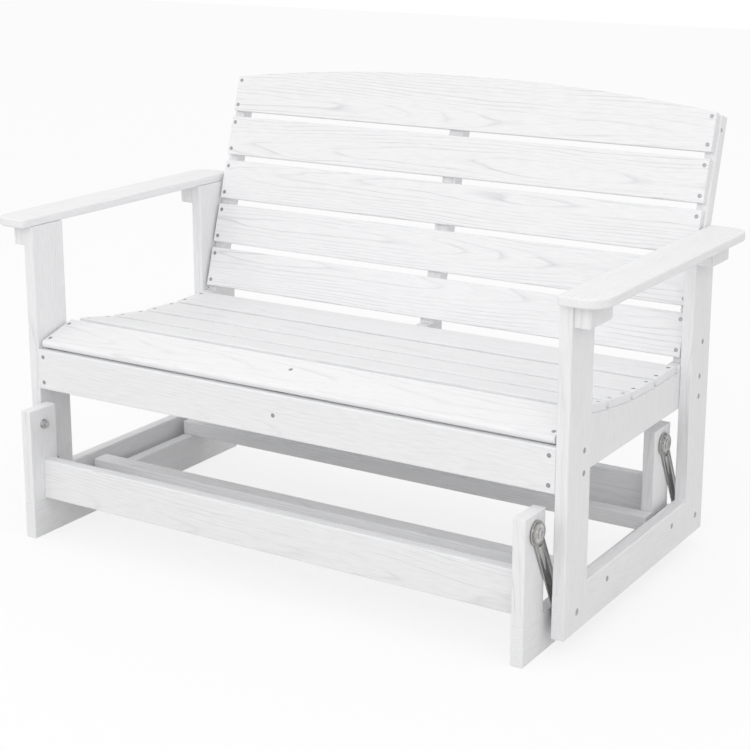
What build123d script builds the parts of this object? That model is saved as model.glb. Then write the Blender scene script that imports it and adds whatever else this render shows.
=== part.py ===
from build123d import *
import math
import os

# Two-seat glider bench of plastic lumber: a bench that hangs by four swinging links from a fixed base.
# Frame in millimetres: +X is the viewer's right, the sitter faces -Y, +Z is up, and the floor is z = 0.
# The swinging bench is drawn as it stands behind its lowest place, with the four links leaning back.

# Boards
board = 25.0
edge_round = 2.5
end_round = 1.2
overrun = 5.0

# Screws: heads, shanks, the room round them and how far they reach into the second piece
screw_head = 8.5
screw_shank = 4.5
side_screw_head = 11.0
side_screw_shank = 6.0
recess_depth = 1.2
recess_share = 0.5
fit_room = 0.1
slat_screw_bite = 14.0
back_screw_bite = 20.0
rear_screw_bite = 11.0
end_screw_bite = 23.0
side_screw_bite = 17.0
lap_screw_bite = 7.0
face_screw_bite = 20.0
arm_screw_bite = 12.0
runner_screw_bite = 22.0
pocket_screw_length = 46.0
pocket_screw_depth = 8.0
pocket_screw_reach = 24.0
pocket_screw_angle = 20.0
pocket_screw_inset = 22.0
pocket_lead = 40.0
cleat_screw_length = 38.0
cleat_screw_angle = 35.0
cleat_screw_depth = 4.0
cleat_screw_reach = 15.0

# Glide links, bearings and pivot bolts
link_length = 195.0
link_lean = 27.5
link_width = 33.0
link_eye = 45.0
link_steel = 2.5
link_bend = 1.0
link_gap = 16.0
link_side_gap = 2.0
rib_width = 17.0
rib_height = 2.5
rib_neck = 6.0
web_hole = 26.0
bearing_outer = 34.0
bearing_thick = 5.0
collar_wall = 2.0
collar_lip = 1.0
collar_round = 0.8
pivot_bolt = 12.0
running_fit = 0.08
axial_play = 0.2
link_bolt_head = 20.0
link_bolt_head_thick = 3.0
socket_width = 8.0
socket_depth = 1.8
nut_width = 16.0
nut_thick = 9.0
nut_flange = 20.0
nut_flange_thick = 2.0
spacer_outer = 18.0
lock_ring_outer = 22.0
leg_bolt_head = 15.0
leg_bolt_head_thick = 5.0
hexagon_sides = 6

# Swinging side frames
frame_half_width = 620.0
frame_depth = 648.0
leg_width = 91.0
floor_clearance = 8.0
bottom_rail_height = 84.0
pivot_height = 37.5
front_pivot_setback = 52.0
rear_pivot_setback = 36.0
lap_screw_inset = 17.0
face_screw_rise = 55.0
front_face_screw_reach = 180.0
rear_face_screw_reach = 161.0

# Fixed base
runner_height = 76.0
runner_tail = 63.0
post_width = 77.0
post_rise = 34.0
base_rail_height = 84.0
base_rail_lift = 4.0
front_rail_setback = 34.0
rear_rail_setback = 10.0
front_stretcher_depth = 40.0
rear_stretcher_depth = 31.0
stretcher_height = 31.0
front_stretcher_setback = 140.0

# Seat frame
swing_clearance = 3.5
apron_height = 84.5
apron_drop = 5.0
seat_rail_rise = 124.3
apron_screw_inset = 15.0
seat_rail_screw_low = 20.0
seat_rail_screw_pitch = 42.0
front_leg_screw_setback = 63.5
rear_leg_screw_setback = 48.0
rear_seat_rail_height = 60.0
rear_rail_screw_inset = 15.0

# Seat slats, laid on a dished line: the drop of each slat's front and rear edge below the highest edge
rear_seat_slats = 4
seat_slat_thick = 16.0
seat_slat_gap = 11.0
crest_gap = 25.0
shoulder_gap = 1.5
slat_end_gap = 6.0
front_slat_setback = 4.0
front_slat_depth = 95.0
front_slat_nose = 7.5
seat_dip = 36.0
seat_drop_shares = ((0.78, 0.0), (0.09, 0.555), (0.57, 0.885), (0.9, 1.0), (0.985, 0.94))
slat_screw_end = 9.0
slat_screw_inset = 19.0
middle_screw_setback = 60.0

# Back, a straight leaning plane of slats on three stiles
back_lean = 16.9
back_inset = 82.8
back_gap = 14.4
back_slat_lift = 13.5
straight_slats = 4
back_slat_thick = 16.0
back_slat_height = 90.0
back_slat_gap = 13.5
arch_end_height = 80.5
arch_rise = 38.0
back_screw_end = 9.5
back_screw_inset = 14.0
arch_screw_inset = 9.0
stile_depth = 32.0
middle_stile_width = 34.0
stile_top_gap = 3.0
top_rail_lift = 21.0
top_rail_height = 55.0
top_rail_thick = 16.0
stile_screw_rise = 28.0
stile_screw_setback = 40.0

# Armrests and the cleats that hold them
armrest_rise = 213.2
armrest_thick = 18.0
armrest_inset = 3.0
armrest_width = 86.0
armrest_overhang = 23.0
armrest_tail = 28.0
armrest_corner = 40.0
armrest_inner_corner = 8.0
armrest_round = 3.5
cleat_thick = 31.0
cleat_height = 41.5
cleat_depth = 88.0
front_cleat_setback = 6.0
rear_cleat_setback = 2.0
cleat_screw_inset = 24.0
toe_screw_inset = 11.0

# Places that follow from the sizes
lean = math.radians(link_lean)
link_swing = link_length * math.sin(lean)
link_drop = link_length * math.cos(lean)
link_lift = link_length - link_drop
frame_base = floor_clearance + link_lift
lap_top = frame_base + bottom_rail_height
pivot_low = frame_base + pivot_height
pivot_high = pivot_low + link_drop
leg_inner = frame_half_width - board
leg_lap = frame_half_width - board / 2
rail_inner = leg_inner - board
rail_centre = leg_inner - board / 2
base_outer = leg_inner - link_gap
base_inner = base_outer - board
base_centre = base_outer - board / 2

front_pivot = front_pivot_setback - link_swing
rear_pivot = frame_depth - rear_pivot_setback - link_swing
base_front = front_pivot - post_width / 2
rear_post_front = rear_pivot - post_width / 2
base_back = rear_pivot + post_width / 2
runner_back = base_back + runner_tail
post_top = pivot_high + post_rise
base_rail_low = runner_height + base_rail_lift
base_rail_top = base_rail_low + base_rail_height
stretcher_top = runner_height + stretcher_height
front_stretcher = base_front + front_stretcher_setback + post_width
rear_stretcher = rear_post_front - rear_stretcher_depth

apron_low = post_top + link_lift + swing_clearance
apron_top = apron_low + apron_height
seat_rail_low = apron_low + apron_drop
seat_crest = seat_rail_low + seat_rail_rise
rear_leg_front = frame_depth - leg_width
rear_seat_rail_front = frame_depth - board
back_foot = frame_depth - back_inset
crest = front_slat_setback + front_slat_depth + crest_gap
seat_back = back_foot - back_gap
seat_pitch = (seat_back + seat_slat_gap - crest) / rear_seat_slats
slat_half = leg_inner - slat_end_gap


def slat_corners(i):
    """Front and rear top corners of a seat slat, and its slope."""
    start = crest + seat_pitch * (i - 1) if i else front_slat_setback
    depth = seat_pitch - seat_slat_gap if i else front_slat_depth
    first, last = (seat_crest - seat_dip * share for share in seat_drop_shares[i])
    return [(start, first), (start + depth, last)], math.atan2(last - first, depth)


def slat_underside(i):
    tops, slope = slat_corners(i)
    return [(y + seat_slat_thick * math.sin(slope), z - seat_slat_thick * math.cos(slope)) for y, z in tops]


seat_rail_line = [point for i in range(rear_seat_slats + 1) for point in slat_underside(i)]
seat_rail_top = slat_corners(rear_seat_slats)[0][1][1]
shoulder = seat_back + shoulder_gap
rear_seat_rail_top = seat_rail_low + rear_seat_rail_height

back_base = seat_rail_top + back_slat_lift
back_pitch = back_slat_height + back_slat_gap
arch_foot = straight_slats * back_pitch
arch_end = arch_foot + arch_end_height
stile_top = arch_end - stile_top_gap
top_rail_foot = arch_foot + top_rail_lift
lean_back = math.radians(back_lean)
back_up = (math.sin(lean_back), math.cos(lean_back))
back_in = (math.cos(lean_back), -math.sin(lean_back))

armrest_low = seat_crest + armrest_rise
armrest_top = armrest_low + armrest_thick
cleat_low = armrest_low - cleat_height
armrest_back = frame_depth + armrest_tail
armrest_inner = leg_inner + armrest_inset


def on_back(along, behind):
    """Y and Z of a point that far up the back's slope, and that far behind the slats' front faces."""
    y = back_foot + along * back_up[0] + behind * back_in[0]
    z = back_base + along * back_up[1] + behind * back_in[1]
    return y, z


# The origin is on the floor, at the middle of the whole bench from front to back
back_limit = on_back(stile_top, back_slat_thick + stile_depth)[0]
into_place = Location((0, -(base_front + back_limit) / 2, 0))

# Directions
right = (1, 0, 0)
front = (0, -1, 0)
rear = (0, 1, 0)
down = (0, 0, -1)
back_front = (0, -back_in[0], -back_in[1])
back_rear = (0, back_in[0], back_in[1])


# Boards
def box(x, y, z):
    """Square-edged block between two limits on each axis."""
    return Pos(sum(x) / 2, sum(y) / 2, sum(z) / 2) * Box(x[1] - x[0], y[1] - y[0], z[1] - z[0])


def plank(x, y, z, along):
    """Moulded board with eased long edges, sawn and lightly eased at its two ends."""
    shape = box(x, y, z)
    shape = fillet(shape.edges().filter_by(along), edge_round)
    ends = shape.faces().filter_by(along)
    return fillet(ends.edges(), end_round)


def sheet(points, x):
    """Square-edged piece with an outline in Y and Z, between two limits in X."""
    outline = make_face(Polyline(*[(0, y, z) for y, z in points], close=True))
    return Pos(x[0], 0, 0) * extrude(outline, x[1] - x[0], dir=right)


def other_side(shape):
    """The same piece for the left side."""
    return mirror(shape, about=Plane.YZ)


# Screws
def screw_body(rim, stem, length, lead):
    """Turned shape of a countersunk screw, with a straight lead above its head."""
    points = [(0, lead), (rim, lead), (rim, -end_round / 2)]
    points += [(stem, stem - rim), (stem, -length), (0, -length)]
    return revolve(Plane.XZ * make_face(Polyline(*points, close=True)), Axis.Z)


def screw_kind(head, shank, length, lead=overrun):
    """Countersunk screw and the cutter for its hole, both pointing down from a head at the origin."""
    recess = head * recess_share
    solid = screw_body(head / 2, shank / 2, length, 0)
    solid -= Pos(0, 0, -recess_depth / 2) * Box(recess, recess, recess_depth)
    cutter = screw_body(head / 2 + fit_room, shank / 2 + fit_room, length + fit_room, lead)
    return solid, cutter


class Pattern:
    """Like screws: their kind, and for each the place of its head and the way that its head faces."""

    def __init__(self, kind, places, both_sides=True):
        self.kind = kind
        self.places = list(places)
        if both_sides:
            self.places += [((-p[0], p[1], p[2]), (-d[0], d[1], d[2])) for p, d in places]

    def screws(self):
        return [Plane(p, z_dir=d).location * self.kind[0] for p, d in self.places]

    def cutters(self):
        return [Plane(p, z_dir=d).location * self.kind[1] for p, d in self.places]


def apart(a, b):
    """Whether two boxes lie clear of each other."""
    low = (a.max.X < b.min.X, a.max.Y < b.min.Y, a.max.Z < b.min.Z)
    high = (a.min.X > b.max.X, a.min.Y > b.max.Y, a.min.Z > b.max.Z)
    return any(low) or any(high)


def drill(shape, cutters):
    """A board with the holes of those screws or bolts that reach it."""
    limits = shape.bounding_box()
    near = [cutter for cutter in cutters if not apart(cutter.bounding_box(), limits)]
    return shape - near if near else shape


slat_screw = screw_kind(screw_head, screw_shank, seat_slat_thick + slat_screw_bite)
back_screw = screw_kind(screw_head, screw_shank, back_slat_thick + back_screw_bite)
stile_back_screw = screw_kind(screw_head, screw_shank, stile_depth + rear_screw_bite)
top_rail_screw = screw_kind(screw_head, screw_shank, top_rail_thick + rear_screw_bite)
end_screw = screw_kind(screw_head, screw_shank, board + end_screw_bite)
hidden_screw = screw_kind(screw_head, screw_shank, board + end_screw_bite, 0)
lap_screw = screw_kind(screw_head, screw_shank, board / 2 + lap_screw_bite)
side_screw = screw_kind(side_screw_head, side_screw_shank, board + side_screw_bite)
face_screw = screw_kind(side_screw_head, side_screw_shank, face_screw_bite)
arm_screw = screw_kind(screw_head, screw_shank, cleat_height + arm_screw_bite)
runner_screw = screw_kind(side_screw_head, side_screw_shank, runner_height + runner_screw_bite)
pocket_screw = screw_kind(screw_head, screw_shank, pocket_screw_length, pocket_lead)
toe_screw = screw_kind(screw_head, screw_shank, cleat_screw_length)


# Pivot bolts, written for the right side with the bearing's two faces as their datum
web_outer = base_outer + link_side_gap
bearing_near = web_outer + link_steel
bearing_far = bearing_near + bearing_thick
bolt_hole = pivot_bolt / 2 + fit_room


def bar(radius, x, y=0, z=0):
    """Round bar along X between two limits."""
    return Pos(sum(x) / 2, y, z) * Rot(0, 90, 0) * Cylinder(radius, x[1] - x[0])


def hexagon(width, x):
    """Six-sided bar along X between two limits, measured across its flats."""
    outline = Plane.YZ * RegularPolygon(width / 2, hexagon_sides, major_radius=False)
    return Pos(x[0], 0, 0) * extrude(outline, x[1] - x[0])


def upper_bolt():
    head = (bearing_far + axial_play, bearing_far + axial_play + link_bolt_head_thick)
    shape = bar(pivot_bolt / 2, (base_inner - nut_thick - link_steel, head[0]))
    cap = bar(link_bolt_head / 2, head)
    cap = chamfer(cap.edges().group_by(Axis.X)[-1], link_bolt_head_thick / 3)
    return shape + cap - hexagon(socket_width, (head[1] - socket_depth, head[1] + overrun))


def upper_nut():
    shape = hexagon(nut_width, (base_inner - nut_thick, base_inner))
    shape += bar(nut_flange / 2, (base_inner - nut_flange_thick, base_inner))
    return shape - bar(bolt_hole, (base_inner - nut_thick - overrun, base_inner + overrun))


def spacer(x):
    return bar(spacer_outer / 2, x) - bar(bolt_hole, (x[0] - overrun, x[1] + overrun))


def lower_bolt():
    inner = frame_half_width - leg_bolt_head_thick
    shape = bar(pivot_bolt / 2, (web_outer, inner)) + bar(leg_bolt_head / 2, (inner, frame_half_width))
    return shape - hexagon(socket_width, (frame_half_width - socket_depth, frame_half_width + overrun))


def lower_bolt_hole():
    inner = frame_half_width - leg_bolt_head_thick - fit_room
    wide = bar(leg_bolt_head / 2 + fit_room, (inner, frame_half_width + overrun))
    return bar(bolt_hole, (leg_inner - overrun, inner)) + wide


def lock_ring():
    x = (web_outer, bearing_near - axial_play)
    return bar(lock_ring_outer / 2, x) - bar(bolt_hole, (x[0] - overrun, x[1] + overrun))


upper_pivots = [(front_pivot, pivot_high), (rear_pivot, pivot_high)]
lower_pivots = [(y + link_swing, pivot_low) for y, z in upper_pivots]


def at_pivots(shape, pivots):
    """Copies of a right-side piece at its two pivots, and at the two on the left."""
    copies = [Pos(0, y, z) * shape for y, z in pivots]
    return copies + [other_side(copy) for copy in copies]


post_holes = at_pivots(bar(bolt_hole, (base_inner - overrun, base_outer + overrun)), upper_pivots)
leg_holes = at_pivots(lower_bolt_hole(), lower_pivots)


# Glide link: a pressed steel bar with a round eye and a bearing housing at each end
def pressed_rib(x):
    """Round-topped rib along the link, which stands up from the plane at x."""
    radius = (rib_width**2 / 4 + rib_height**2) / (2 * rib_height)
    reach = link_length - link_eye - 2 * rib_neck
    crest_round = Pos(x + rib_height - radius, 0, -link_length / 2) * Cylinder(radius, reach)
    return crest_round & Pos(x - link_steel + radius, 0, -link_length / 2) * Box(2 * radius, 2 * radius, reach)


def glide_link():
    eye = Circle(link_eye / 2)
    waist = Pos(0, -link_length / 2) * Rectangle(link_width, link_length)
    shape = extrude(Plane.YZ * (eye + Pos(0, -link_length) * eye + waist), link_steel)
    shape = fillet(shape.faces().sort_by(Axis.X)[-1].outer_wire().edges(), link_bend)
    shape += pressed_rib(link_steel)
    shape -= pressed_rib(0)
    seat = bearing_outer / 2 + fit_room
    reach = (link_steel, link_steel + bearing_thick + collar_lip)
    for z in (0, -link_length):
        collar = bar(seat + collar_wall, (0, reach[1]), 0, z)
        shape += fillet(collar.edges().group_by(Axis.X)[-1], collar_round)
        shape -= bar(seat, (reach[0], reach[1] + overrun), 0, z)
        shape -= bar(web_hole / 2, (-overrun, link_steel + overrun), 0, z)
    return shape


def bearing():
    """Ring bearing with a shallow groove between its two rings on each face."""
    shape = bar(bearing_outer / 2, (0, bearing_thick))
    shape -= bar(pivot_bolt / 2 + running_fit, (-overrun, bearing_thick + overrun))
    groove = bar((bearing_outer + spacer_outer) / 4 + collar_wall, (0, collar_lip / 2))
    groove -= bar((bearing_outer + spacer_outer) / 4 - collar_wall, (-overrun, overrun))
    return shape - groove - Pos(bearing_thick - collar_lip / 2, 0, 0) * groove


# Fixed base
base_screws = [
    Pattern(
        runner_screw,
        [
            ((base_centre, y, 0), down)
            for y in (
                front_pivot - post_width / 4,
                front_pivot + post_width / 4,
                front_stretcher + front_stretcher_depth / 2,
                rear_stretcher + rear_stretcher_depth / 2,
                rear_pivot - post_width / 4,
                rear_pivot + post_width / 4,
            )
        ],
    ),
]
front_rail_y = (base_front + front_rail_setback, base_front + front_rail_setback + board)
rear_rail_y = (base_back - rear_rail_setback - board, base_back - rear_rail_setback)
pocket_rad = math.radians(pocket_screw_angle)
pocket_x = base_inner - pocket_screw_reach * math.cos(pocket_rad)
pocket_way = (-math.cos(pocket_rad), math.sin(pocket_rad), 0)
base_screws.append(
    Pattern(
        pocket_screw,
        [
            ((pocket_x, y[1] - pocket_screw_depth, z), pocket_way)
            for y in (front_rail_y, rear_rail_y)
            for z in (base_rail_low + pocket_screw_inset, base_rail_top - pocket_screw_inset)
        ],
    )
)
base_cutters = post_holes + [cutter for pattern in base_screws for cutter in pattern.cutters()]


def base_pieces():
    base_x = (base_inner, base_outer)
    runner = plank(base_x, (base_front, runner_back), (0, runner_height), Axis.Y)
    front_post = plank(base_x, (base_front, base_front + post_width), (runner_height, post_top), Axis.Z)
    rear_post = Pos(0, rear_pivot - front_pivot, 0) * front_post
    for side, pieces in (
        ("right", (runner, front_post, rear_post)),
        ("left", (other_side(runner), other_side(front_post), other_side(rear_post))),
    ):
        for name, piece in zip(("base_runner_", "base_post_front_", "base_post_rear_"), pieces):
            yield name + side, drill(piece, base_cutters)
    rail_z = (base_rail_low, base_rail_top)
    for name, y in (("base_front_rail", front_rail_y), ("base_rear_rail", rear_rail_y)):
        yield name, drill(plank((-base_inner, base_inner), y, rail_z, Axis.X), base_cutters)
    for name, y in (
        ("base_front_stretcher", (front_stretcher, front_stretcher + front_stretcher_depth)),
        ("base_rear_stretcher", (rear_stretcher, rear_post_front)),
    ):
        stretcher = plank((-base_outer, base_outer), y, (runner_height, stretcher_top), Axis.X)
        yield name, drill(stretcher, base_cutters)
    yield "base_screws", [screw for pattern in base_screws for screw in pattern.screws()]
    yield "upper_pivot_bolts", at_pivots(upper_bolt(), upper_pivots)
    yield "upper_pivot_nuts", at_pivots(upper_nut(), upper_pivots)
    yield "upper_pivot_spacers", at_pivots(spacer((base_outer, bearing_near - axial_play)), upper_pivots)


def link_pieces():
    hang = Rot(link_lean, 0, 0)
    link = Pos(web_outer, 0, 0) * (hang * glide_link())
    ring = Pos(bearing_near, 0, 0) * bearing()
    for place, (y, z) in zip(("front", "rear"), upper_pivots):
        for side, turn in (("right", lambda piece: piece), ("left", other_side)):
            yield f"glide_link_{place}_{side}", turn(Pos(0, y, z) * link)
            rings = [turn(Pos(0, y, z) * ring), turn(Pos(0, y + link_swing, z - link_drop) * ring)]
            yield f"glide_bearings_{place}_{side}", rings


# Seat slats
def seat_slat(i):
    tops, slope = slat_corners(i)
    length = math.dist(*tops)
    shape = box((-slat_half, slat_half), (0, length), (-seat_slat_thick, 0))
    long_edges = shape.edges().filter_by(Axis.X)
    if i:
        shape = fillet(long_edges, edge_round)
    else:
        nose = min(front_slat_nose, seat_slat_thick / 2 - fit_room)
        shape = fillet(long_edges.group_by(Axis.Y)[0], nose)
        shape = fillet(shape.edges().filter_by(Axis.X).group_by(Axis.Y)[-1], edge_round)
    shape = fillet(shape.faces().filter_by(Axis.X).edges(), end_round)
    return Pos(0, *tops[0]) * Rot(math.degrees(slope), 0, 0) * shape


def on_slat(i, along):
    """Point on a slat's top, so far from its front corner, and the way that a screw's head faces there."""
    tops, slope = slat_corners(i)
    y = tops[0][0] + along * math.cos(slope)
    z = tops[0][1] + along * math.sin(slope)
    return (y, z), (0, -math.sin(slope), math.cos(slope))


def seat_rail_outline(front_y, back_y):
    """Outline of a board on edge that follows the slats' undersides and rises behind the last one."""
    (y0, z0), (y1, z1) = seat_rail_line[:2]
    start = (front_y, z0 + (front_y - y0) * (z1 - z0) / (y1 - y0))
    line = [point for point in seat_rail_line if front_y < point[0] < shoulder]
    rise = [(shoulder, line[-1][1]), (shoulder, seat_rail_top), (back_y, seat_rail_top)]
    return [start] + line + rise + [(back_y, seat_rail_low), (front_y, seat_rail_low)]


# Screw places on the swinging bench
slat_screw_x = slat_half - slat_screw_end
slat_places = []
for i in range(rear_seat_slats + 1):
    length = math.dist(*slat_corners(i)[0])
    for stop in (slat_screw_inset, length - slat_screw_inset):
        point, way = on_slat(i, stop)
        slat_places.append(((slat_screw_x, *point), way))
middle_point, middle_way = on_slat(0, middle_screw_setback)
slat_screws = [
    Pattern(slat_screw, slat_places),
    Pattern(slat_screw, [((0, *middle_point), middle_way)], False),
]

back_screw_x = slat_half - back_screw_end
back_stops = [arch_foot + back_screw_inset, arch_end - arch_screw_inset]
stile_stops = [arch_foot + top_rail_lift / 2]
for i in range(straight_slats):
    foot = back_pitch * i
    back_stops += [foot + back_screw_inset, foot + back_slat_height - back_screw_inset]
    stile_stops.append(foot + back_slat_height / 2)
stile_rear = back_slat_thick + stile_depth
top_rail_middle = top_rail_foot + top_rail_height / 2
top_rail_rear = on_back(top_rail_middle, back_slat_thick + top_rail_thick)
back_screws = [
    Pattern(back_screw, [((back_screw_x, *on_back(stop, 0)), back_front) for stop in back_stops]),
    Pattern(stile_back_screw, [((0, *on_back(stop, stile_rear)), back_rear) for stop in stile_stops], False),
    Pattern(top_rail_screw, [((slat_half / 2, *top_rail_rear), back_rear)]),
    Pattern(top_rail_screw, [((0, *top_rail_rear), back_rear)], False),
]

leg_screw_y = (front_leg_screw_setback, frame_depth - rear_leg_screw_setback)
low_seat_screw = seat_rail_low + seat_rail_screw_low
seat_screw_z = (low_seat_screw, low_seat_screw + seat_rail_screw_pitch)
rear_rail_z = (seat_rail_low + rear_rail_screw_inset, rear_seat_rail_top - rear_rail_screw_inset)
lap_high = lap_top - lap_screw_inset
lap_low = frame_base + lap_screw_inset
lap_inner = leg_width - lap_screw_inset
lap_points = [
    (lap_screw_inset, lap_high),
    (lap_inner, lap_low),
    (frame_depth - lap_screw_inset, lap_high),
    (frame_depth - lap_inner, lap_low),
]
stile_point = (frame_depth - stile_screw_setback, back_base + stile_screw_rise)
face_y = (front_face_screw_reach, frame_depth - rear_face_screw_reach)
apron_z = (apron_top - apron_screw_inset, apron_low + apron_screw_inset)
top_rail_end = on_back(top_rail_middle, back_slat_thick + top_rail_thick / 2)
frame_screws = [
    Pattern(end_screw, [((rail_centre, 0, z), front) for z in apron_z]),
    Pattern(end_screw, [((0, 0, (apron_low + apron_top) / 2), front)], False),
    Pattern(side_screw, [((frame_half_width, y, z), right) for y in leg_screw_y for z in seat_screw_z]),
    Pattern(hidden_screw, [((leg_inner, frame_depth - board / 2, z), right) for z in rear_rail_z]),
    Pattern(end_screw, [((0, frame_depth, z), rear) for z in rear_rail_z], False),
    Pattern(side_screw, [((frame_half_width, *stile_point), right)]),
    Pattern(end_screw, [((leg_inner, *top_rail_end), right)]),
    Pattern(lap_screw, [((leg_inner, y, z), (-1, 0, 0)) for y, z in lap_points]),
    Pattern(face_screw, [((frame_half_width, y, frame_base + face_screw_rise), right) for y in face_y]),
]

cleat_fronts = (front_cleat_setback, frame_depth - rear_cleat_setback - cleat_depth)
cleat_x = frame_half_width + cleat_thick / 2
toe_rad = math.radians(cleat_screw_angle)
toe_x = frame_half_width + cleat_screw_reach
toe_z = cleat_low + cleat_screw_depth
toe_way = (math.sin(toe_rad), 0, -math.cos(toe_rad))


def both_ends(inset):
    """Y of a screw at that distance from each end of each cleat."""
    return [y + end for y in cleat_fronts for end in (inset, cleat_depth - inset)]


arm_screws = [
    Pattern(arm_screw, [((cleat_x, y, cleat_low), down) for y in both_ends(cleat_screw_inset)]),
    Pattern(toe_screw, [((toe_x, y, toe_z), toe_way) for y in both_ends(toe_screw_inset)]),
]
bench_patterns = slat_screws + back_screws + frame_screws + arm_screws
bench_cutters = leg_holes + [cutter for pattern in bench_patterns for cutter in pattern.cutters()]


# Side frames
def leg():
    """Front right leg, with its inner half cut away at the foot for the bottom rail."""
    upper = box((leg_inner, frame_half_width), (0, leg_width), (lap_top, armrest_low))
    upper = fillet(upper.edges().filter_by(Axis.Z), edge_round)
    foot = box((leg_lap, frame_half_width), (0, leg_width), (frame_base, lap_top))
    outer = [
        foot.edges().filter_by(Axis.Z).sort_by(lambda edge: edge.center().X - edge.center().Y)[-1],
        foot.edges().filter_by(Axis.Y).sort_by(lambda edge: edge.center().X - edge.center().Z)[-1],
        foot.edges().filter_by(Axis.X).sort_by(lambda edge: edge.center().Y + edge.center().Z)[0],
    ]
    return upper + fillet(outer, edge_round)


def bottom_rail():
    """Bottom rail, with its outer half cut away at each end for the legs."""
    rail = plank((leg_inner, frame_half_width), (0, frame_depth), (frame_base, lap_top), Axis.Y)
    x = (leg_lap, frame_half_width + overrun)
    z = (frame_base - overrun, lap_top + overrun)
    return rail - box(x, (-overrun, leg_width), z) - box(x, (rear_leg_front, frame_depth + overrun), z)


def side_frames():
    front_leg = leg()
    rear_leg = mirror(front_leg, about=Plane.XZ.offset(-frame_depth / 2))
    for name, piece in (
        ("leg_front_", front_leg),
        ("leg_rear_", rear_leg),
        ("bottom_rail_", bottom_rail()),
        ("seat_rail_", seat_rail((rail_inner, leg_inner), frame_depth)),
        ("back_stile_", stile((rail_inner, leg_inner), stile_top)),
        ("armrest_", armrest()),
        ("arm_cleat_front_", cleat(cleat_fronts[0])),
        ("arm_cleat_rear_", cleat(cleat_fronts[1])),
    ):
        yield name + "right", drill(piece, bench_cutters)
        yield name + "left", drill(other_side(piece), bench_cutters)


# Seat frame
def seat_rail(x, back_y):
    shape = sheet(seat_rail_outline(board, back_y), x)
    low = shape.edges().filter_by(Axis.Y).group_by(Axis.Z)[0]
    return fillet(low, edge_round)


def seat_frame():
    yield "seat_joist_middle", seat_rail((-board / 2, board / 2), rear_seat_rail_front)
    yield "front_apron", plank((-leg_inner, leg_inner), (0, board), (apron_low, apron_top), Axis.X)
    rear_y = (rear_seat_rail_front, frame_depth)
    rear_z = (seat_rail_low, rear_seat_rail_top)
    yield "rear_seat_rail", plank((-rail_inner, rail_inner), rear_y, rear_z, Axis.X)
    for i in range(rear_seat_slats + 1):
        yield f"seat_slat_{i + 1}", seat_slat(i)


# Back
onto_back = Pos(0, back_foot, back_base) * Rot(-back_lean, 0, 0)


def stile(x, top):
    """Leaning stile that stands on a seat rail, cut level at its foot and square at its top."""
    foot = (seat_rail_top - back_base) / back_up[1]
    behind = (back_slat_thick, back_slat_thick + stile_depth)
    feet = [on_back(foot - depth * back_in[1] / back_up[1], depth) for depth in behind]
    heads = [on_back(top, depth) for depth in behind]
    shape = sheet([feet[0], feet[1], heads[1], heads[0]], x)
    return fillet(shape.edges().filter_by(Axis((0, 0, 0), (0, *back_up))), edge_round)


def back_slat(low, high):
    x = (-slat_half, slat_half)
    return onto_back * plank(x, (0, back_slat_thick), (low, high), Axis.X)


def arched_slat():
    """Top slat, straight below and with a round arch above."""
    left_end = (-slat_half, arch_foot)
    right_end = (slat_half, arch_foot)
    corners = [left_end, right_end, (slat_half, arch_end)]
    outline = Polyline(*corners)
    outline += ThreePointArc(corners[-1], (0, arch_end + arch_rise), (-slat_half, arch_end))
    outline += Line((-slat_half, arch_end), left_end)
    shape = extrude(Plane.XZ * make_face(outline), -back_slat_thick)
    shape = fillet(shape.edges().filter_by(Axis.Y), end_round)
    faces = shape.faces().sort_by(Axis.Y)
    return onto_back * fillet(faces[0].edges() + faces[-1].edges(), edge_round - end_round)


def back():
    yield "back_stile_middle", stile((-middle_stile_width / 2, middle_stile_width / 2), top_rail_foot)
    for i in range(straight_slats):
        yield f"back_slat_{i + 1}", back_slat(back_pitch * i, back_pitch * i + back_slat_height)
    yield "back_slat_5", arched_slat()
    rail_y = (back_slat_thick, back_slat_thick + top_rail_thick)
    rail_z = (top_rail_foot, top_rail_foot + top_rail_height)
    yield "back_top_rail", onto_back * plank((-rail_inner, rail_inner), rail_y, rail_z, Axis.X)


# Armrests
def armrest():
    x = (armrest_inner, armrest_inner + armrest_width)
    shape = box(x, (-armrest_overhang, armrest_back), (armrest_low, armrest_top))
    sides = shape.edges().filter_by(Axis.Z).group_by(Axis.X)
    shape = fillet(sides[-1], armrest_corner)
    inner = shape.edges().filter_by(Axis.Z).group_by(Axis.X)[0]
    shape = fillet(inner, armrest_inner_corner)
    faces = shape.faces().filter_by(Axis.Z)
    return fillet(faces.edges(), armrest_round)


def cleat(low_y):
    x = (frame_half_width, frame_half_width + cleat_thick)
    return plank(x, (low_y, low_y + cleat_depth), (cleat_low, armrest_low), Axis.Y)


def bench_pieces():
    yield from side_frames()
    for name, piece in list(seat_frame()) + list(back()):
        yield name, drill(piece, bench_cutters)
    for name, patterns in (
        ("seat_slat_screws", slat_screws),
        ("back_slat_screws", back_screws),
        ("frame_screws", frame_screws),
        ("arm_screws", arm_screws),
    ):
        yield name, [screw for pattern in patterns for screw in pattern.screws()]
    yield "lower_pivot_bolts", at_pivots(lower_bolt(), lower_pivots)
    yield "lower_pivot_rings", at_pivots(lock_ring(), lower_pivots)
    yield "lower_pivot_spacers", at_pivots(spacer((bearing_far + axial_play, leg_inner)), lower_pivots)


# Writing the pieces
def write(name, piece):
    solids = []
    for shape in piece if isinstance(piece, list) else [piece]:
        solids += (into_place * shape).solids()
    export_step(solids[0] if len(solids) == 1 else Compound(children=solids), f"parts/{name}.step")


os.makedirs("parts", exist_ok=True)
for pieces in (base_pieces, link_pieces, bench_pieces):
    for name, piece in pieces():
        write(name, piece)

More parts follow.
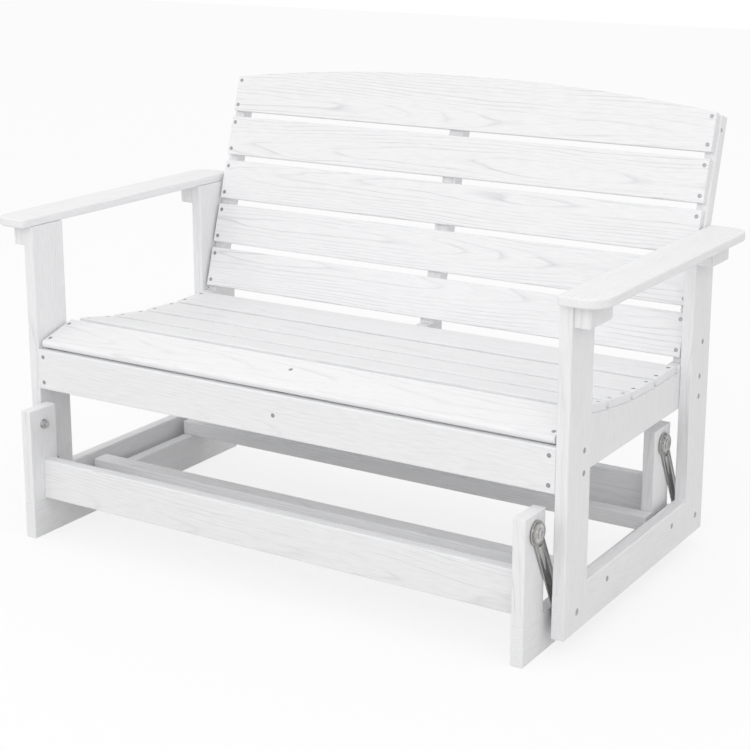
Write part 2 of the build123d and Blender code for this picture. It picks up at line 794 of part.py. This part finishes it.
shift = into_place.position.Y
print("upper pivots", [(round(y + shift, 3), round(z, 3)) for y, z in upper_pivots])
print("lower pivots", [(round(y + shift, 3), round(z, 3)) for y, z in lower_pivots])
print("bearing faces in x", round(bearing_near, 3), round(bearing_far, 3))
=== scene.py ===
import math
import random

import bmesh
import bpy
import numpy as np
from mathutils import Matrix, Vector


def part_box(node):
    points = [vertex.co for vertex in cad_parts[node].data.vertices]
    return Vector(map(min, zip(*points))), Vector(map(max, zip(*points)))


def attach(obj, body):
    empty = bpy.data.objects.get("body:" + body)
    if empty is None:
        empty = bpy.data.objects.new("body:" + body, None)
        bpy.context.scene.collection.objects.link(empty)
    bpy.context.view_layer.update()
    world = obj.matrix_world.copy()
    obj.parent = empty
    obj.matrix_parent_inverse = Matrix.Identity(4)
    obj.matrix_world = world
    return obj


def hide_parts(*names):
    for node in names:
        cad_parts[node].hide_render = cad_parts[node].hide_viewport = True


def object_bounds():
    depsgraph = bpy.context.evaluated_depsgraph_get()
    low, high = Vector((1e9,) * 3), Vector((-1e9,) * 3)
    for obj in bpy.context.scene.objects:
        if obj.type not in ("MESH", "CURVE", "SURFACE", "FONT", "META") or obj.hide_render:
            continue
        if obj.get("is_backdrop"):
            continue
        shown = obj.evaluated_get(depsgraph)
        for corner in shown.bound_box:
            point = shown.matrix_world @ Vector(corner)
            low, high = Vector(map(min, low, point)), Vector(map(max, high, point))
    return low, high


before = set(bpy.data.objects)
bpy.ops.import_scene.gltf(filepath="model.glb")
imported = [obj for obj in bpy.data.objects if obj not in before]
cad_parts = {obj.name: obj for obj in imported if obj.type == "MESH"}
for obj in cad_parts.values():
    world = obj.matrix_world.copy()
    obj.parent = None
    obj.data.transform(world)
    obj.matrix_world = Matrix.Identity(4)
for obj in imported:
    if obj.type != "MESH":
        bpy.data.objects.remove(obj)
cad_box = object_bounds()

# Runners, the two boards on edge that the fixed base stands on.
# White plastic lumber: foamed polyethylene with a wood grain pressed in, satin with faint grey arches.
# Each carries two posts, which are screwed to it from below.
MILLIMETRE = 0.001
LUMBER_FACE = "EFEFF0"
LUMBER_VALLEY = "D2D2D4"
LUMBER_IOR = 1.5
LUMBER_ROUGHNESS = 0.55
RING_SPACING = 6.0 * MILLIMETRE
GRAIN_STRETCH = 7.0
RING_WANDER = 20.0 * MILLIMETRE
WANDER_SIZE = 95.0 * MILLIMETRE
# Real pores are some 0.3 mm wide and wouldn't show, so they are drawn about six times as wide.
PORE_WIDTH = 1.8 * MILLIMETRE
PORE_LENGTH = 40.0 * MILLIMETRE
PORE_STRENGTH = 0.35
PRESS_DEPTH = 0.35 * MILLIMETRE
PRESS_STRENGTH = 0.6
WAVE_TURNS = 20.0
RING_VALLEY = [(0.0, 1.0), (0.1, 0.35), (0.26, 0.0), (0.92, 0.0), (1.0, 0.7)]
RING_FADE = [(0.36, 0.1), (0.62, 1.0)]
PORE_STREAK = [(0.42, 0.0), (0.78, 1.0)]
NOISE_MEAN = 0.5
FADE_RATE = 3
HEART_SLIDE = 400.0 * MILLIMETRE
HEART_DEPTHS = (0.8, 1.3)
HEART_ASIDE = 35.0 * MILLIMETRE

X_AXIS = Vector((1, 0, 0))
Y_AXIS = Vector((0, 1, 0))
Z_AXIS = Vector((0, 0, 1))


def linear(code):
    """An sRGB hex colour as linear red, green, blue and alpha."""
    shares = [int(code[i:i + 2], 16) / 255 for i in (0, 2, 4)]
    return [s / 12.92 if s <= 0.04045 else ((s + 0.055) / 1.055) ** 2.4 for s in shares] + [1.0]


def add(tree, kind, inputs=None, **settings):
    """A new node with its settings; inputs holds values, or sockets to link, by socket name or number."""
    made = tree.nodes.new(kind)
    for name, value in settings.items():
        setattr(made, name, value)
    for name, value in (inputs or {}).items():
        if isinstance(value, bpy.types.NodeSocket):
            tree.links.new(value, made.inputs[name])
        else:
            made.inputs[name].default_value = value
    return made


def new_material(name):
    """An empty node material and its output node."""
    made = bpy.data.materials.new(name)
    made.use_nodes = True
    made.node_tree.nodes.clear()
    return made, add(made.node_tree, "ShaderNodeOutputMaterial")


def pressed_lumber(name, heart, along, face, lean, line_strength):
    """White plastic lumber whose pressed grain copies a board sawn from a trunk.

    heart is a point on the trunk's middle line, which runs along the board, leaning a little
    out of its face, so that the year rings cross the face as long pointed arches.
    """
    made, output = new_material(name)
    tree = made.node_tree
    across = face.cross(along)
    turn = Matrix((along, across, face)).transposed() @ Matrix.Rotation(lean, 3, "Y")
    place = add(tree, "ShaderNodeTexCoord").outputs["Object"]
    trunk = add(
        tree,
        "ShaderNodeMapping",
        {
            "Vector": place,
            "Location": heart,
            "Rotation": turn.to_euler(),
            "Scale": (GRAIN_STRETCH, 1.0, 1.0),
        },
        vector_type="TEXTURE",
    ).outputs["Vector"]
    wander = add(
        tree,
        "ShaderNodeTexNoise",
        {"Vector": trunk, "Scale": 1 / WANDER_SIZE, "Detail": 3.0, "Roughness": 0.42},
    )
    centred = add(
        tree,
        "ShaderNodeVectorMath",
        {0: wander.outputs["Color"], 1: (NOISE_MEAN,) * 3},
        operation="SUBTRACT",
    )
    moved = add(
        tree,
        "ShaderNodeVectorMath",
        {0: centred.outputs[0], 1: (RING_WANDER * 2,) * 3, 2: trunk},
        operation="MULTIPLY_ADD",
    )
    rings = add(
        tree,
        "ShaderNodeTexWave",
        {"Vector": moved.outputs[0], "Scale": 2 * math.pi / (WAVE_TURNS * RING_SPACING)},
        wave_type="RINGS",
        rings_direction="X",
        wave_profile="SAW",
    )
    valley = add(tree, "ShaderNodeValToRGB", {"Fac": rings.outputs["Fac"]})
    fade = add(
        tree, "ShaderNodeTexNoise", {"Vector": trunk, "Scale": FADE_RATE / WANDER_SIZE, "Detail": 3.0}
    )
    shown = add(tree, "ShaderNodeValToRGB", {"Fac": fade.outputs["Fac"]})
    lines = add(
        tree,
        "ShaderNodeMath",
        {0: valley.outputs["Color"], 1: shown.outputs["Color"]},
        operation="MULTIPLY",
    )
    pore_scale = (GRAIN_STRETCH / PORE_LENGTH, 1 / PORE_WIDTH, 1 / PORE_WIDTH)
    fine = add(tree, "ShaderNodeVectorMath", {0: trunk, 1: pore_scale}, operation="MULTIPLY")
    pores = add(tree, "ShaderNodeTexNoise", {"Vector": fine.outputs[0], "Scale": 1.0, "Detail": 2.0})
    streaks = add(tree, "ShaderNodeValToRGB", {"Fac": pores.outputs["Fac"]})
    for curve, stops in ((valley, RING_VALLEY), (shown, RING_FADE), (streaks, PORE_STREAK)):
        points = curve.color_ramp.elements
        while len(points) < len(stops):
            points.new(1.0)
        for point, (at, level) in zip(points, stops):
            point.position = at
            point.color = (level, level, level, 1.0)
    depth = add(tree, "ShaderNodeMath", {0: lines.outputs[0], 1: line_strength}, operation="MULTIPLY")
    groove = add(
        tree,
        "ShaderNodeMath",
        {0: streaks.outputs["Color"], 1: PORE_STRENGTH, 2: depth.outputs[0]},
        operation="MULTIPLY_ADD",
        use_clamp=True,
    )
    tint = add(
        tree,
        "ShaderNodeMix",
        {0: groove.outputs[0], 6: linear(LUMBER_FACE), 7: linear(LUMBER_VALLEY)},
        data_type="RGBA",
    )
    height = add(tree, "ShaderNodeMath", {0: 1.0, 1: groove.outputs[0]}, operation="SUBTRACT")
    pressed = add(
        tree,
        "ShaderNodeBump",
        {"Height": height.outputs[0], "Distance": PRESS_DEPTH, "Strength": PRESS_STRENGTH},
    )
    surface = add(
        tree,
        "ShaderNodeBsdfPrincipled",
        {
            "Base Color": tint.outputs[2],
            "Roughness": LUMBER_ROUGHNESS,
            "IOR": LUMBER_IOR,
            "Normal": pressed.outputs["Normal"],
        },
    )
    tree.links.new(surface.outputs["BSDF"], output.inputs["Surface"])
    return made


def finish_board(node, along, face, deep=0.03, aside=0.0, lean=2.0, lines=1.0):
    """Gives a CAD board its own grain: deep and aside place the trunk's heart from the face's middle."""
    low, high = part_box(node)
    middle = (low + high) / 2
    luck = random.Random(node)
    slide = luck.uniform(-HEART_SLIDE, HEART_SLIDE)
    heart = middle + along * slide - face * (deep * luck.uniform(*HEART_DEPTHS))
    heart += face.cross(along) * (aside + luck.uniform(-HEART_ASIDE, HEART_ASIDE))
    tilt = math.radians(lean) * luck.choice((-1, 1))
    made = pressed_lumber("pressed_lumber_" + node, heart, along, face, tilt, lines)
    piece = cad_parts[node]
    if not piece.material_slots:
        piece.data.materials.append(made)
    for holder in piece.material_slots:
        holder.material = made


SIDES = ("left", "right")
for side in SIDES:
    finish_board("base_runner_" + side, Y_AXIS, X_AXIS, aside=0.12, lines=0.5)

# Posts of the base: four short boards standing on the runners, sawn from the same lumber.
# Each carries a glide link on the bolt near its top.
for side in SIDES:
    for end in ("front", "rear"):
        finish_board(f"base_post_{end}_{side}", Z_AXIS, X_AXIS, aside=0.12, lines=0.5)

# Rails and stretchers of the base, which hold its two sides apart.
# The rails stand on edge between the posts; the stretchers lie flat across the runners.
for node in ("base_front_rail", "base_rear_rail"):
    finish_board(node, X_AXIS, -Y_AXIS, lean=1.2, lines=0.65)
for node in ("base_front_stretcher", "base_rear_stretcher"):
    finish_board(node, X_AXIS, Z_AXIS, lines=0.6)

# Glide links: bars of stainless steel with a pressed rib and a round bearing housing at each end.
# Polished after pressing, so they mirror the boards and the gap round them.
LINK_STEEL = "B4B3B1"
POLISH_LENGTH = 30.0 * MILLIMETRE
# Real marks of a polishing belt are far finer than 0.5 mm and wouldn't show.
POLISH_WIDTH = 0.5 * MILLIMETRE
SCRATCH_DEPTH = 0.02 * MILLIMETRE
SCRATCH_STRENGTH = 0.3


def polished_steel(name, code, roughness, uneven):
    """Steel polished along its length, with a fine uneven sheen from the polishing belt."""
    made, output = new_material(name)
    tree = made.node_tree
    place = add(tree, "ShaderNodeTexCoord").outputs["Object"]
    marks = add(
        tree,
        "ShaderNodeMapping",
        {"Vector": place, "Scale": (1 / POLISH_WIDTH, 1 / POLISH_WIDTH, 1 / POLISH_LENGTH)},
    ).outputs["Vector"]
    belt = add(tree, "ShaderNodeTexNoise", {"Vector": marks, "Scale": 1.0, "Detail": 3.0}).outputs["Fac"]
    sheen = add(
        tree,
        "ShaderNodeMapRange",
        {"Value": belt, "To Min": roughness * (1 - uneven), "To Max": roughness * (1 + uneven)},
    ).outputs["Result"]
    scratch = add(
        tree, "ShaderNodeBump", {"Height": belt, "Distance": SCRATCH_DEPTH, "Strength": SCRATCH_STRENGTH}
    )
    surface = add(
        tree,
        "ShaderNodeBsdfPrincipled",
        {
            "Base Color": linear(code),
            "Metallic": 1.0,
            "Roughness": sheen,
            "Normal": scratch.outputs["Normal"],
        },
    )
    tree.links.new(surface.outputs["BSDF"], output.inputs["Surface"])
    return made


def finish_metal(node, material):
    """Gives a CAD node of steel its finish."""
    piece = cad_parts[node]
    if not piece.material_slots:
        piece.data.materials.append(material)
    for holder in piece.material_slots:
        holder.material = material


link_finish = polished_steel("polished_stainless_link", LINK_STEEL, roughness=0.12, uneven=0.35)
for side in SIDES:
    for end in ("front", "rear"):
        finish_metal(f"glide_link_{end}_{side}", link_finish)

# Bearings of the links: ground steel rings pressed into the housings.
# Harder and brighter than the link, with a turned groove between the two rings.
BEARING_STEEL = "E0DFDD"
bearing_finish = polished_steel("ground_bearing_steel", BEARING_STEEL, roughness=0.12, uneven=0.2)
for side in SIDES:
    for end in ("front", "rear"):
        finish_metal(f"glide_bearings_{end}_{side}", bearing_finish)

# Pivot bolts, nuts, spacers and lock rings of stainless steel, with a softer shine than the links.
# The upper ones go through the posts and the lower ones through the legs.
BOLT_STEEL = "C6C6C6"
bolt_finish = polished_steel("stainless_bolt", BOLT_STEEL, roughness=0.3, uneven=0.3)
for node in (
    "upper_pivot_bolts",
    "upper_pivot_nuts",
    "upper_pivot_spacers",
    "lower_pivot_bolts",
    "lower_pivot_rings",
    "lower_pivot_spacers",
):
    finish_metal(node, bolt_finish)

# Side frames of the swinging bench: two legs and a bottom rail on each side, half-lapped together.
# The same lumber; the legs show the fine straight grain of a board sawn far from the heart.
for side in SIDES:
    for end in ("front", "rear"):
        finish_board(f"leg_{end}_{side}", Z_AXIS, X_AXIS, aside=0.14, lines=0.55)
    finish_board("bottom_rail_" + side, Y_AXIS, X_AXIS, aside=0.1, lines=0.5)

# Seat frame: side rails cut to the dish of the seat, a joist in the middle, an apron and a rear rail.
# The side rails show short upright streaks, as they do in the picture.
for side in SIDES:
    finish_board("seat_rail_" + side, Z_AXIS, X_AXIS, aside=0.2, lines=0.4)
finish_board("seat_joist_middle", Y_AXIS, X_AXIS, aside=0.1)
finish_board("front_apron", X_AXIS, -Y_AXIS, lean=1.2, lines=0.35)
finish_board("rear_seat_rail", X_AXIS, Y_AXIS)

# Seat slats: five boards across the rails, the front one with a round nose.
# Thinner lumber with eased edges, screwed down at both ends.
SLATS = range(1, 6)
for i in SLATS:
    finish_board(f"seat_slat_{i}", X_AXIS, Z_AXIS, deep=0.05, lean=1.2, lines=0.5)

# Back: five slats on three leaning stiles, the top one sawn to an arch, with a batten behind it.
# The grain lies in the plane of the back, which leans away from the sitter.
low_slat, high_slat = (sum(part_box(f"back_slat_{i}"), Vector()) / 2 for i in (1, 4))
BACK_UP = (high_slat - low_slat).normalized()
BACK_FACE = X_AXIS.cross(BACK_UP)
for i in SLATS:
    finish_board(f"back_slat_{i}", X_AXIS, BACK_FACE, lean=1.0, lines=1.0)
finish_board("back_top_rail", X_AXIS, -BACK_FACE)
for place in ("left", "middle", "right"):
    finish_board("back_stile_" + place, BACK_UP, X_AXIS, aside=0.15, lines=0.6)

# Armrests and the cleats below them: the armrests have round corners and lie on the legs.
# Their tops show less grain than the other boards do.
for side in SIDES:
    finish_board("armrest_" + side, Y_AXIS, Z_AXIS, deep=0.06, lean=1.0, lines=0.25)
    for end in ("front", "rear"):
        finish_board(f"arm_cleat_{end}_{side}", Z_AXIS, X_AXIS, aside=0.2, lines=0.7)

# Screws: countersunk deck screws of dull stainless steel, sunk flush with the boards.
# Each tree input is a size of the smaller screw; the larger one is the same screw scaled up.
# The shank's flat end reaches the face of the head, so only the corners of the square drive are open.
SCREW_STEEL = "A6A6AA"
SCREW_HEAD = 8.5 * MILLIMETRE
SCREW_SHANK = 4.5 * MILLIMETRE
SCREW_RIM = 0.6 * MILLIMETRE
DRIVE_WIDTH = 4.2 * MILLIMETRE
DRIVE_DEPTH = 1.2 * MILLIMETRE
HEAD_SIDES = 20
SHANK_SIDES = 12
SCREW_SIZES = {
    "Head width": SCREW_HEAD,
    "Shank width": SCREW_SHANK,
    "Rim depth": SCREW_RIM,
    "Drive width": DRIVE_WIDTH,
    "Drive depth": DRIVE_DEPTH,
}
MERGE_WITHIN = 0.01 * MILLIMETRE


def screws_in(node):
    """Head centre, way out, head width and length of each screw in a CAD node, by its vertices' order."""
    loose = bmesh.new()
    loose.from_mesh(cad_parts[node].data)
    bmesh.ops.remove_doubles(loose, verts=loose.verts, dist=MERGE_WITHIN)
    seen = set()
    found = []
    for first in loose.verts:
        if first in seen:
            continue
        seen.add(first)
        body = [first]
        for vert in body:
            for edge in vert.link_edges:
                other = edge.other_vert(vert)
                if other not in seen:
                    seen.add(other)
                    body.append(other)
        points = np.array([vert.co for vert in body])
        middle = points.mean(0)
        spread = np.linalg.svd(points - middle, full_matrices=False)[2][0]
        along = (points - middle) @ spread
        ends = []
        for end in (along.max(), along.min()):
            ring = points[np.abs(along - end) < SCREW_RIM / 2]
            centre = (ring.max(0) + ring.min(0)) / 2
            ends.append((np.linalg.norm(ring - centre, axis=1).max(), centre))
        (wide, head), (_, tip) = sorted(ends, key=lambda item: -item[0])
        way = head - tip
        length = np.linalg.norm(way)
        found.append((head, way / length, 2 * wide, length))
    loose.free()
    return found


def screw_tree(material):
    """Deck screws on points: 'way' is where a head faces, 'size' its scale, 'reach' the screw's length."""
    tree = bpy.data.node_groups.new("deck_screws", "GeometryNodeTree")
    tree.interface.new_socket("Points", in_out="INPUT", socket_type="NodeSocketGeometry")
    for name, value in SCREW_SIZES.items():
        socket = tree.interface.new_socket(name, in_out="INPUT", socket_type="NodeSocketFloat")
        socket.default_value = value
    tree.interface.new_socket("Screws", in_out="OUTPUT", socket_type="NodeSocketGeometry")
    given = add(tree, "NodeGroupInput").outputs

    head_half, shank_half, rim_half, shank_tip = (
        add(tree, "ShaderNodeMath", {0: given[name], 1: share}, operation="MULTIPLY").outputs[0]
        for name, share in (
            ("Head width", 0.5),
            ("Shank width", 0.5),
            ("Rim depth", 0.5),
            ("Shank width", 0.25),
        )
    )
    taper = add(tree, "ShaderNodeMath", {0: head_half, 1: shank_half}, operation="SUBTRACT").outputs[0]
    head_depth = add(tree, "ShaderNodeMath", {0: given["Rim depth"], 1: taper}, operation="ADD").outputs[0]
    rim = add(
        tree,
        "GeometryNodeMeshCylinder",
        {"Vertices": HEAD_SIDES, "Radius": head_half, "Depth": given["Rim depth"]},
    ).outputs["Mesh"]
    cone = add(
        tree,
        "GeometryNodeMeshCone",
        {"Vertices": HEAD_SIDES, "Radius Top": head_half, "Radius Bottom": shank_half, "Depth": taper},
    ).outputs["Mesh"]
    solid = add(tree, "GeometryNodeMeshBoolean", operation="UNION", solver="EXACT")
    for shape, below in ((rim, rim_half), (cone, head_depth)):
        lowered = add(tree, "ShaderNodeMath", {0: 0.0, 1: below}, operation="SUBTRACT").outputs[0]
        place = add(tree, "ShaderNodeCombineXYZ", {"Z": lowered}).outputs[0]
        placed = add(tree, "GeometryNodeTransform", {"Geometry": shape, "Translation": place})
        tree.links.new(placed.outputs["Geometry"], solid.inputs["Mesh 2"])
    drive_depth = add(
        tree, "ShaderNodeMath", {0: given["Drive depth"], 1: 2.0}, operation="MULTIPLY"
    ).outputs[0]
    drive_size = add(
        tree,
        "ShaderNodeCombineXYZ",
        {"X": given["Drive width"], "Y": given["Drive width"], "Z": drive_depth},
    ).outputs[0]
    drive = add(tree, "GeometryNodeMeshCube", {"Size": drive_size}).outputs["Mesh"]
    head = add(
        tree,
        "GeometryNodeMeshBoolean",
        {"Mesh 1": solid.outputs["Mesh"]},
        operation="DIFFERENCE",
        solver="EXACT",
    )
    tree.links.new(drive, head.inputs["Mesh 2"])
    shank = add(
        tree,
        "GeometryNodeMeshCone",
        {"Vertices": SHANK_SIDES, "Radius Top": shank_half, "Radius Bottom": shank_tip, "Depth": 1.0},
    ).outputs["Mesh"]
    shank = add(
        tree, "GeometryNodeTransform", {"Geometry": shank, "Translation": (0.0, 0.0, -1.0)}
    ).outputs["Geometry"]

    way, size, reach = (
        add(tree, "GeometryNodeInputNamedAttribute", {"Name": name}, data_type=kind).outputs["Attribute"]
        for name, kind in (("way", "FLOAT_VECTOR"), ("size", "FLOAT"), ("reach", "FLOAT"))
    )
    facing = add(tree, "FunctionNodeAlignRotationToVector", {"Vector": way}, axis="Z").outputs["Rotation"]
    points = add(tree, "GeometryNodeMeshToPoints", {"Mesh": given["Points"]}).outputs["Points"]
    heads = add(
        tree,
        "GeometryNodeInstanceOnPoints",
        {"Points": points, "Instance": head.outputs["Mesh"], "Rotation": facing, "Scale": size},
    ).outputs["Instances"]
    shank_scale = add(tree, "ShaderNodeCombineXYZ", {"X": size, "Y": size, "Z": reach}).outputs[0]
    shanks = add(
        tree,
        "GeometryNodeInstanceOnPoints",
        {"Points": points, "Instance": shank, "Rotation": facing, "Scale": shank_scale},
    ).outputs["Instances"]
    joined = add(tree, "GeometryNodeJoinGeometry")
    tree.links.new(heads, joined.inputs["Geometry"])
    tree.links.new(shanks, joined.inputs["Geometry"])
    real = add(tree, "GeometryNodeRealizeInstances", {"Geometry": joined.outputs["Geometry"]})
    finished = add(
        tree, "GeometryNodeSetMaterial", {"Geometry": real.outputs["Geometry"], "Material": material}
    )
    add(tree, "NodeGroupOutput", {"Screws": finished.outputs["Geometry"]})
    return tree


def fit_screws(name, body, nodes):
    """One plain mesh of the screws that stand for those CAD nodes of a body."""
    places = [screw for node in nodes for screw in screws_in(node)]
    mesh = bpy.data.meshes.new(name)
    mesh.from_pydata([head for head, way, width, length in places], [], [])
    facing = np.array([way for head, way, width, length in places], np.float32)
    ways = mesh.attributes.new("way", "FLOAT_VECTOR", "POINT")
    ways.data.foreach_set("vector", facing.ravel())
    sizes = mesh.attributes.new("size", "FLOAT", "POINT")
    sizes.data.foreach_set("value", [width / SCREW_HEAD for head, way, width, length in places])
    reaches = mesh.attributes.new("reach", "FLOAT", "POINT")
    reaches.data.foreach_set("value", [length for head, way, width, length in places])
    piece = bpy.data.objects.new(name, mesh)
    bpy.context.scene.collection.objects.link(piece)
    maker = piece.modifiers.new("deck_screws", "NODES")
    maker.node_group = deck_screws
    for item in deck_screws.interface.items_tree:
        if item.in_out == "INPUT" and item.name in SCREW_SIZES:
            maker[item.identifier] = SCREW_SIZES[item.name]
    bpy.context.view_layer.update()
    plain = bpy.data.meshes.new_from_object(piece.evaluated_get(bpy.context.evaluated_depsgraph_get()))
    piece.modifiers.remove(maker)
    piece.data = plain
    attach(piece, body)
    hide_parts(*nodes)


screw_finish = polished_steel("stainless_screw", SCREW_STEEL, roughness=0.38, uneven=0.3)
deck_screws = screw_tree(screw_finish)
fit_screws(
    "bench_deck_screws", "bench", ("seat_slat_screws", "back_slat_screws", "frame_screws", "arm_screws")
)
fit_screws("base_deck_screws", "base", ("base_screws",))

# Studio: a white floor that keeps a faint shadow, a white surround, and four large soft lamps.
# The camera stands at the photograph's viewing angle.
SURROUND_LIGHT = 0.92
FLOOR_HALF = 12.0
FLOOR_TINT = "D8D8D8"
FLOOR_GLOW = 0.78
FLOOR_SHADE = 0.2
CAMERA_PLACE = (1.8033, -2.8576, 1.3384)
CAMERA_TURN = 32.0
CAMERA_DIP = 13.98
CAMERA_LENS = 81.81
CAMERA_SHIFT = -0.1


def shows_white(tree):
    """1 for what the camera, a mirror or glass sees directly, and 0 for light that falls on the object."""
    rays = add(tree, "ShaderNodeLightPath").outputs
    direct = rays["Is Camera Ray"]
    for kind in ("Is Glossy Ray", "Is Transmission Ray"):
        direct = add(tree, "ShaderNodeMath", {0: direct, 1: rays[kind]}, operation="MAXIMUM").outputs[0]
    return direct


surround = bpy.data.worlds.new("white_surround")
surround.use_nodes = True
surround.node_tree.nodes.clear()
bpy.context.scene.world = surround
level = add(
    surround.node_tree,
    "ShaderNodeMix",
    {0: shows_white(surround.node_tree), 2: SURROUND_LIGHT, 3: 1.0},
    data_type="FLOAT",
)
sky = add(
    surround.node_tree,
    "ShaderNodeBackground",
    {"Color": linear("FFFFFF"), "Strength": level.outputs[0]},
)
add(surround.node_tree, "ShaderNodeOutputWorld", {"Surface": sky.outputs["Background"]})

floor_mesh = bpy.data.meshes.new("studio_floor")
corners = [(x * FLOOR_HALF, y * FLOOR_HALF, 0) for x, y in ((-1, -1), (1, -1), (1, 1), (-1, 1))]
floor_mesh.from_pydata(corners, [], [(0, 1, 2, 3)])
floor = bpy.data.objects.new("studio_floor", floor_mesh)
bpy.context.scene.collection.objects.link(floor)
floor_paint, floor_output = new_material("pale_floor")
tree = floor_paint.node_tree
matte = add(tree, "ShaderNodeBsdfDiffuse", {"Color": linear(FLOOR_TINT)})
shade = add(tree, "ShaderNodeBsdfDiffuse", {"Color": [FLOOR_SHADE, FLOOR_SHADE, FLOOR_SHADE, 1.0]})
glow = add(tree, "ShaderNodeEmission", {"Color": linear("FFFFFF"), "Strength": FLOOR_GLOW})
bright = add(tree, "ShaderNodeAddShader", {0: shade.outputs[0], 1: glow.outputs[0]})
mixed = add(tree, "ShaderNodeMixShader", {0: shows_white(tree), 1: matte.outputs[0], 2: bright.outputs[0]})
tree.links.new(mixed.outputs[0], floor_output.inputs["Surface"])
floor_mesh.materials.append(floor_paint)
floor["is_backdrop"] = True


LAMP_AIM = Vector((0, 0, 0.4))


def soft_lamp(name, place, size, power):
    """Square lamp that faces the middle of the bench."""
    light = bpy.data.lights.new(name, "AREA")
    light.size = size
    light.energy = power
    lamp = bpy.data.objects.new(name, light)
    lamp.location = place
    aim = LAMP_AIM - Vector(place)
    lamp.rotation_euler = aim.to_track_quat("-Z", "Y").to_euler()
    bpy.context.scene.collection.objects.link(lamp)


soft_lamp("front_left_lamp", (-2.2, -3.6, 3.4), 2.0, 18.0)
soft_lamp("front_lamp", (0.6, -4.6, 2.6), 2.0, 22.0)
soft_lamp("front_right_lamp", (3.2, -3.2, 2.4), 2.0, 14.0)
soft_lamp("top_lamp", (0.3, -0.4, 4.2), 2.6, 5.0)

camera = bpy.data.cameras.new("photo_camera")
camera.lens = CAMERA_LENS
camera.shift_y = CAMERA_SHIFT
viewer = bpy.data.objects.new("photo_camera", camera)
viewer.location = CAMERA_PLACE
viewer.rotation_euler = (math.radians(90 - CAMERA_DIP), 0, math.radians(CAMERA_TURN))
bpy.context.scene.collection.objects.link(viewer)
bpy.context.scene.camera = viewer
bpy.context.scene.view_settings.view_transform = "Standard"

sizes = {"cad": cad_box, "visual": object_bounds()}
sizes = {name: [list(corner) for corner in box] for name, box in sizes.items()}
